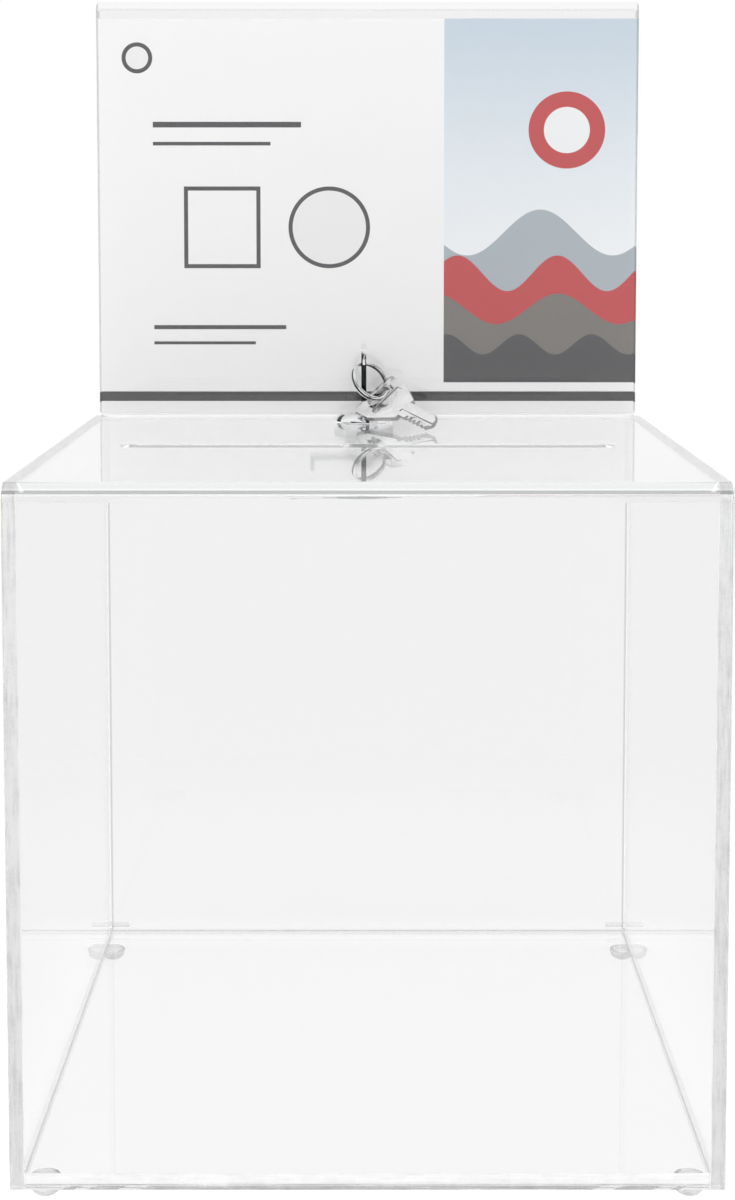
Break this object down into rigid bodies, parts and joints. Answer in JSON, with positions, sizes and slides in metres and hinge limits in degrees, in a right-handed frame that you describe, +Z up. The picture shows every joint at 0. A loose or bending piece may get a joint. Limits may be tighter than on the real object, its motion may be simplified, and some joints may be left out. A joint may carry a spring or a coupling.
{
  "type": "suggestion box",
  "caption": "Clear acrylic suggestion box with a posting slot, a lockable rear door that rises into a folded sign holder, a cam lock in the lid and keys on a split ring",
  "frame": {"origin": "middle of the bounding box in X and Y, on the plane the feet stand on", "axes": "+X to the viewer's right, -Y towards the viewer (the solid front face), +Z up"},
  "size_m": [0.215, 0.215, 0.3796],
  "materials": {
    "clear_acrylic": "clear cast acrylic, polished faces, flame-polished edges",
    "printed_card": "printed card with a slight sheen",
    "clear_polyurethane": "clear soft bumper",
    "plated_steel": "bright zinc plating",
    "chrome_plated_zinc": "polished chrome plating on cast zinc",
    "nickel_plated_brass": "nickel plating, satin",
    "bare_brass": "stamped, unplated"
  },
  "bodies": {
    "case": {"front_and_lid_sheet": "clear_acrylic", "left_side_panel": "clear_acrylic", "right_side_panel": "clear_acrylic", "floor_panel": "clear_acrylic", "foot_front_left": "clear_polyurethane", "foot_front_right": "clear_polyurethane", "foot_rear_left": "clear_polyurethane", "foot_rear_right": "clear_polyurethane", "hinge_pin_left": "clear_acrylic", "hinge_pin_right": "clear_acrylic", "lock_housing": "chrome_plated_zinc", "lock_washer": "plated_steel", "lock_nut": "plated_steel"},
    "door": {"rear_door": "clear_acrylic", "cam_keeper": "clear_acrylic"},
    "card": {"poster_card": "printed_card"},
    "plug": {"lock_plug": "nickel_plated_brass", "wafer_tumbler_1": "bare_brass", "wafer_tumbler_2": "bare_brass", "wafer_tumbler_3": "bare_brass", "wafer_tumbler_4": "bare_brass", "wafer_tumbler_5": "bare_brass", "lock_cam": "plated_steel", "cam_washer": "plated_steel", "cam_screw": "plated_steel"},
    "key": {"key_in_lock": "nickel_plated_brass"},
    "ring": {"key_ring": "plated_steel"},
    "spare": {"spare_key": "nickel_plated_brass"}
  },
  "joints": [
    {"name": "door_hinge", "type": "hinge", "parent": "case", "child": "door", "pos_m": [0, 0.103, 0.0114], "axis": [-1, 0, 0], "range_deg": [0, 90]},
    {"name": "card_slide", "type": "slide", "parent": "door", "child": "card", "axis": [1, 0, 0], "range_m": [-0.2, 0.2]},
    {"name": "plug_turn", "type": "hinge", "parent": "case", "child": "plug", "pos_m": [-0.0014, 0.0787, 0.2046], "axis": [0, 0, -1], "range_deg": [0, 90]},
    {"name": "key_withdrawal", "type": "slide", "parent": "plug", "child": "key", "axis": [0, 0, 1], "range_m": [0, 0.02]},
    {"name": "ring_swing", "type": "hinge", "parent": "key", "child": "ring", "pos_m": [-0.0014, 0.07652, 0.23991], "axis": [-0.7816, -0.6235, 0.0158], "range_deg": [0, 10]},
    {"name": "spare_key_swing", "type": "hinge", "parent": "ring", "child": "spare", "pos_m": [0.00308, 0.07019, 0.22712], "axis": [-0.7969, -0.6011, 0.0605], "range_deg": [0, 5]}
  ]
}
